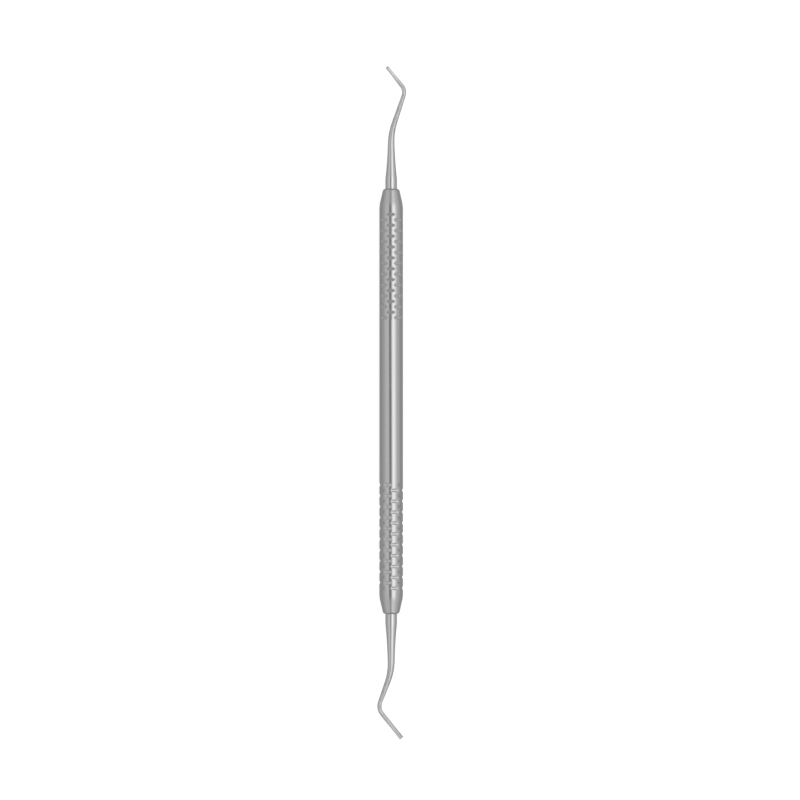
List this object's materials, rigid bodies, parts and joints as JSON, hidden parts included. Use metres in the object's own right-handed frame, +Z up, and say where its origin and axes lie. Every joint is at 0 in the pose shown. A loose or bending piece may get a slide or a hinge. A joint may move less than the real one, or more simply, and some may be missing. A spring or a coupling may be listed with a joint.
{
  "type": "plastic filling instrument",
  "caption": "Double-ended dental hand instrument: round steel handle with milled grips, and a tapered, bent spatula blade at each end.",
  "frame": {"origin": "on the handle's axis, at the middle of the handle's length", "axes": "+Y along the handle towards the round-tipped blade, +Z up from the surface that the instrument lies on, +X to the side that the round-tipped end's shank bends to first"},
  "size_m": [0.0073, 0.1713, 0.006],
  "materials": {
    "satin_steel": "satin turned stainless steel",
    "polished_steel": "fine satin, hand-polished stainless steel"
  },
  "bodies": {
    "root": {"handle": "satin_steel", "round_blade_end": "polished_steel", "square_blade_end": "polished_steel"}
  },
  "joints": []
}
